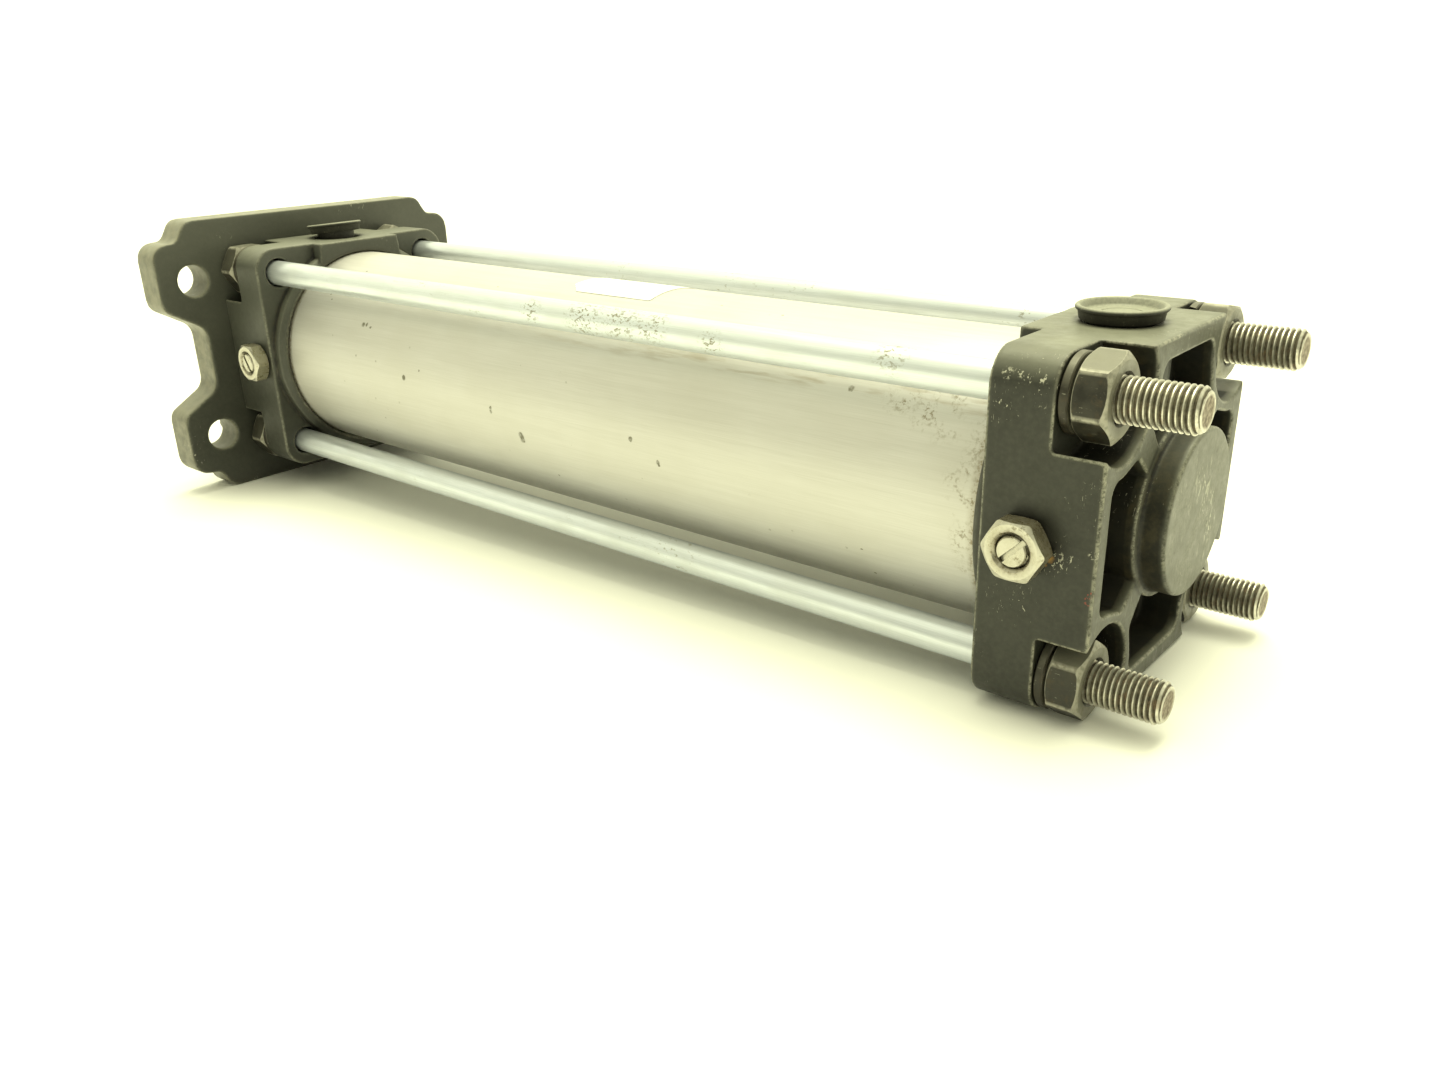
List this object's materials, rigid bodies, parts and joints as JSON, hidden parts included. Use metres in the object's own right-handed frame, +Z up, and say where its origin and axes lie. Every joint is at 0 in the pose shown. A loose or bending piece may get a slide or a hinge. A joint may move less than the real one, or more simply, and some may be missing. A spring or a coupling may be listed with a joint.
{
  "type": "pneumatic cylinder",
  "caption": "Double-acting tie-rod air cylinder with square black end covers, a brushed tube, cushion needles, plugged top ports and a rod-side mounting flange.",
  "frame": {"origin": "centre of the round boss face on the closed rear cover", "axes": "+X along the cylinder axis towards the rod, +Y towards the side with the cushion needles, +Z up, the way the ports look"},
  "size_m": [0.429, 0.13, 0.102],
  "materials": {
    "black_casting": "black stoved paint over a die casting, satin, chipped on its edges",
    "black_plate": "black stoved paint, satin, worn grey on its edges",
    "brushed_tube": "brushed and clear anodised, with light stains",
    "zinc_plate": "bright zinc plate with grey stains",
    "black_oxide": "black oxide, oily, worn on the corners",
    "nickel": "nickel plate, tarnished",
    "hard_chrome": "ground and hard chromed",
    "turned_aluminium": "turned",
    "bronze": "sintered, oil filled",
    "rubber": "moulded nitrile rubber",
    "resin": "filled wear resin",
    "plug_plastic": "moulded black polyethylene, dusty",
    "label": "blank white film label"
  },
  "bodies": {
    "barrel": {"head_cover": "black_casting", "rod_cover": "black_casting", "cylinder_tube": "brushed_tube", "blank_label": "label", "flange_plate": "black_plate", "tube_gasket_rear": "rubber", "tube_gasket_front": "rubber", "rod_bush": "bronze", "rod_seal": "rubber", "rod_wiper": "rubber", "gland_ring": "nickel", "cushion_seal_rear": "rubber", "cushion_seal_front": "rubber", "needle_lock_nut_rear": "nickel", "needle_lock_nut_front": "nickel", "port_plug_rear": "plug_plastic", "port_plug_front": "plug_plastic", "tie_rod_a": "zinc_plate", "rear_spring_washer_a": "black_oxide", "rear_nut_a": "black_oxide", "front_spring_washer_a": "black_oxide", "front_nut_a": "black_oxide", "flange_spring_washer_a": "black_oxide", "flange_nut_a": "black_oxide", "tie_rod_b": "zinc_plate", "rear_spring_washer_b": "black_oxide", "rear_nut_b": "black_oxide", "front_spring_washer_b": "black_oxide", "front_nut_b": "black_oxide", "flange_spring_washer_b": "black_oxide", "flange_nut_b": "black_oxide", "tie_rod_c": "zinc_plate", "rear_spring_washer_c": "black_oxide", "rear_nut_c": "black_oxide", "front_spring_washer_c": "black_oxide", "front_nut_c": "black_oxide", "flange_spring_washer_c": "black_oxide", "flange_nut_c": "black_oxide", "tie_rod_d": "zinc_plate", "rear_spring_washer_d": "black_oxide", "rear_nut_d": "black_oxide", "front_spring_washer_d": "black_oxide", "front_nut_d": "black_oxide", "flange_spring_washer_d": "black_oxide", "flange_nut_d": "black_oxide"},
    "piston_ring": {"wear_ring": "resin"},
    "rod": {"piston_rod": "hard_chrome", "piston": "turned_aluminium", "piston_seal_rear": "rubber", "piston_seal_front": "rubber", "cushion_sleeve_rear": "turned_aluminium", "cushion_sleeve_front": "turned_aluminium", "piston_nut": "black_oxide"},
    "needle_ring_rear": {"needle_o_ring_rear": "rubber"},
    "needle_rear": {"cushion_needle_rear": "nickel"},
    "needle_ring_front": {"needle_o_ring_front": "rubber"},
    "needle_front": {"cushion_needle_front": "nickel"}
  },
  "joints": [
    {"name": "rod_slide", "type": "slide", "parent": "barrel", "child": "piston_ring", "axis": [1, 0, 0], "range_m": [0, 0.25]},
    {"name": "rod_turn", "type": "hinge", "parent": "piston_ring", "child": "rod", "pos_m": [0.05, 0, 0], "axis": [1, 0, 0], "continuous": true},
    {"name": "needle_rear_rise", "type": "slide", "parent": "barrel", "child": "needle_ring_rear", "axis": [0, 1, 0], "range_m": [0, 0.003]},
    {"name": "needle_rear_turn", "type": "hinge", "parent": "needle_ring_rear", "child": "needle_rear", "pos_m": [0.0225, 0.03, 0], "axis": [0, 1, 0], "range_deg": [0, 1090]},
    {"name": "needle_front_rise", "type": "slide", "parent": "barrel", "child": "needle_ring_front", "axis": [0, 1, 0], "range_m": [0, 0.003]},
    {"name": "needle_front_turn", "type": "hinge", "parent": "needle_ring_front", "child": "needle_front", "pos_m": [0.334, 0.03, 0], "axis": [0, 1, 0], "range_deg": [0, 1090]}
  ],
  "couplings": [
    {"joint": "needle_rear_turn", "follows": "needle_rear_rise", "rad_per_m": 6283.2},
    {"joint": "needle_front_turn", "follows": "needle_front_rise", "rad_per_m": 6283.2}
  ]
}
